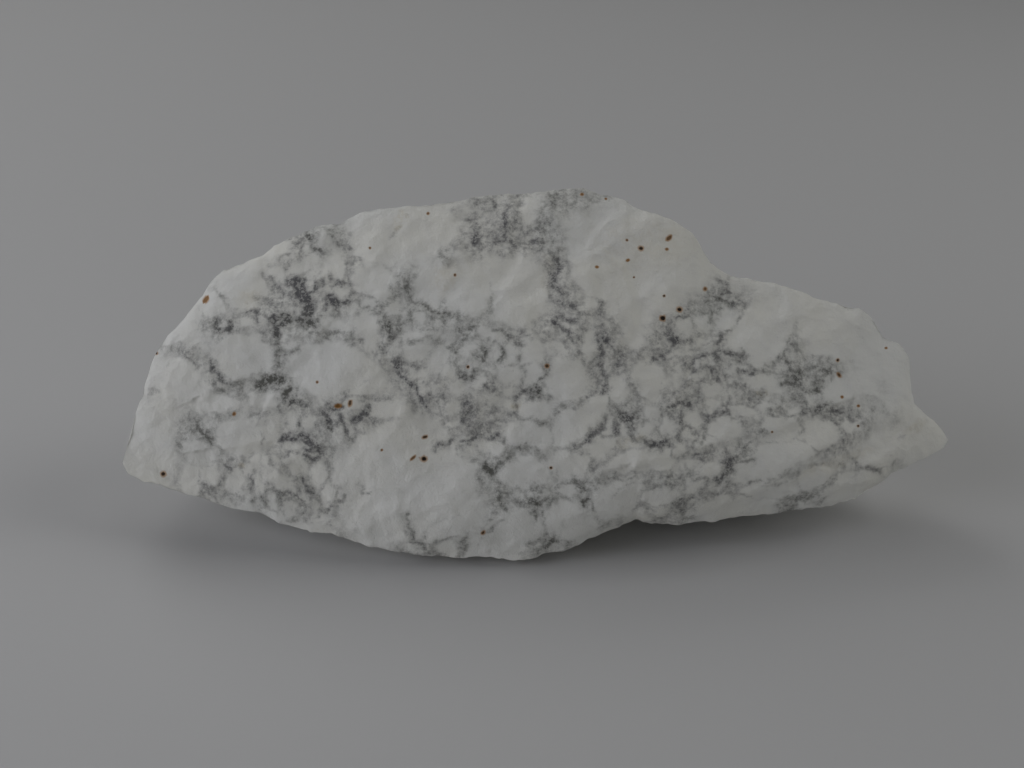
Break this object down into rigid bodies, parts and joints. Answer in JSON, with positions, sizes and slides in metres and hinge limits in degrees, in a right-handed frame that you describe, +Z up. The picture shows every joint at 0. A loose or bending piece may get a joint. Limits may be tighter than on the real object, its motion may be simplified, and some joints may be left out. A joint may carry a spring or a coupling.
{
  "type": "rough magnesite",
  "caption": "Rough lump of white veined magnesite with a broad broken face, raised ends and a flat foot to stand on.",
  "frame": {"origin": "on the ground, under the middle of the stone's box", "axes": "+X along the stone towards its tapered end, -Y towards its broad broken face, +Z up"},
  "size_m": [0.1691, 0.0593, 0.0655],
  "materials": {
    "magnesite": "matt, chalky broken surface, white with grey veins and small rust specks"
  },
  "bodies": {
    "root": {"magnesite_stone": "magnesite"}
  },
  "joints": []
}
